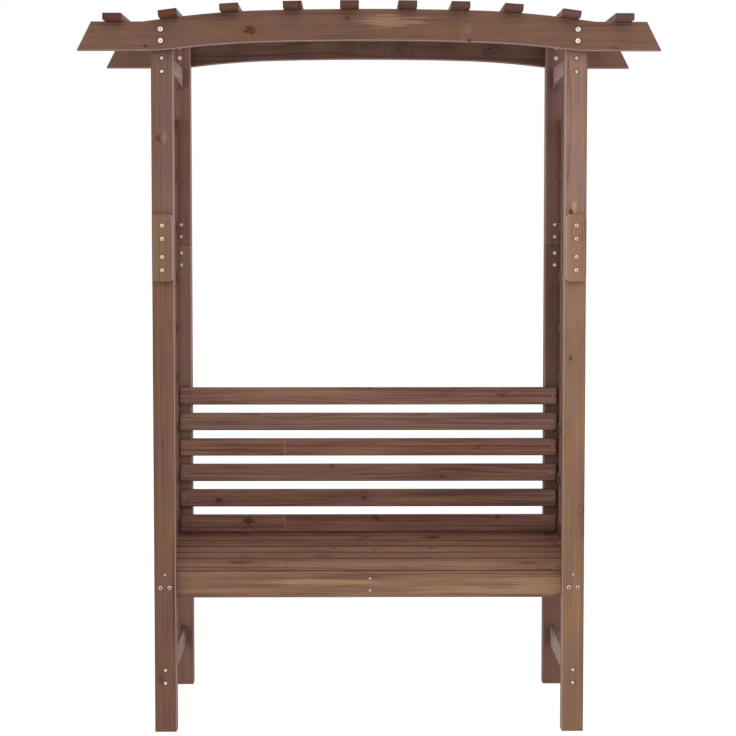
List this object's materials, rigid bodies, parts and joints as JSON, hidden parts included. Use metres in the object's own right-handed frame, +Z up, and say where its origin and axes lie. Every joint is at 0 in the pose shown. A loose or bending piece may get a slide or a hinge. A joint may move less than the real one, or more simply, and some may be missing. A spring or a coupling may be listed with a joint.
{
  "type": "arbour seat",
  "caption": "Wooden garden arbour seat: slatted bench and back between spliced posts, with trellis sides and a roof of rafters on arched beams.",
  "frame": {"origin": "on the ground, at the middle of the width and of the depth", "axes": "+X to the right as seen by someone who faces the seat, +Y from the front to the back, +Z up"},
  "size_m": [1.526, 0.585, 1.9363],
  "materials": {
    "post_wood": "oiled softwood, reddish brown, open grain with knots",
    "plate_wood": "oiled softwood, a little paler than the posts",
    "beam_wood": "oiled softwood with finger joints along its length",
    "rafter_wood": "oiled softwood, end grain at the front and rear",
    "rail_wood": "oiled softwood, greyish inner faces",
    "seat_wood": "oiled softwood with streaked grain",
    "back_wood": "darker oiled softwood",
    "lath_wood": "thin sawn laths, dark oiled",
    "zinc": "yellow zinc plating"
  },
  "bodies": {
    "root": {"front_left_lower_post": "post_wood", "front_left_upper_post": "post_wood", "front_left_splice_plate": "plate_wood", "rear_left_lower_post": "post_wood", "rear_left_upper_post": "post_wood", "rear_left_splice_plate": "plate_wood", "front_right_lower_post": "post_wood", "front_right_upper_post": "post_wood", "front_right_splice_plate": "plate_wood", "rear_right_lower_post": "post_wood", "rear_right_upper_post": "post_wood", "rear_right_splice_plate": "plate_wood", "front_arched_beam": "beam_wood", "front_left_beam_bolt_1": "zinc", "front_left_beam_bolt_2": "zinc", "front_right_beam_bolt_1": "zinc", "front_right_beam_bolt_2": "zinc", "rear_arched_beam": "beam_wood", "rear_left_beam_bolt_1": "zinc", "rear_left_beam_bolt_2": "zinc", "rear_right_beam_bolt_1": "zinc", "rear_right_beam_bolt_2": "zinc", "rafter_01": "rafter_wood", "rafter_02": "rafter_wood", "rafter_03": "rafter_wood", "rafter_04": "rafter_wood", "rafter_05": "rafter_wood", "rafter_06": "rafter_wood", "rafter_07": "rafter_wood", "rafter_08": "rafter_wood", "rafter_09": "rafter_wood", "rafter_10": "rafter_wood", "left_top_rail": "rail_wood", "left_lower_stretcher": "rail_wood", "left_seat_rail": "rail_wood", "right_top_rail": "rail_wood", "right_lower_stretcher": "rail_wood", "right_seat_rail": "rail_wood", "front_apron": "seat_wood", "rear_apron": "seat_wood", "centre_bearer": "rail_wood", "seat_slat_1": "seat_wood", "seat_slat_2": "seat_wood", "seat_slat_3": "seat_wood", "seat_slat_4": "seat_wood", "seat_slat_5": "seat_wood", "back_slat_1": "back_wood", "back_slat_2": "back_wood", "back_slat_3": "back_wood", "back_slat_4": "back_wood", "back_slat_5": "back_wood", "back_slat_6": "back_wood", "left_trellis": "lath_wood", "right_trellis": "lath_wood"}
  },
  "joints": []
}
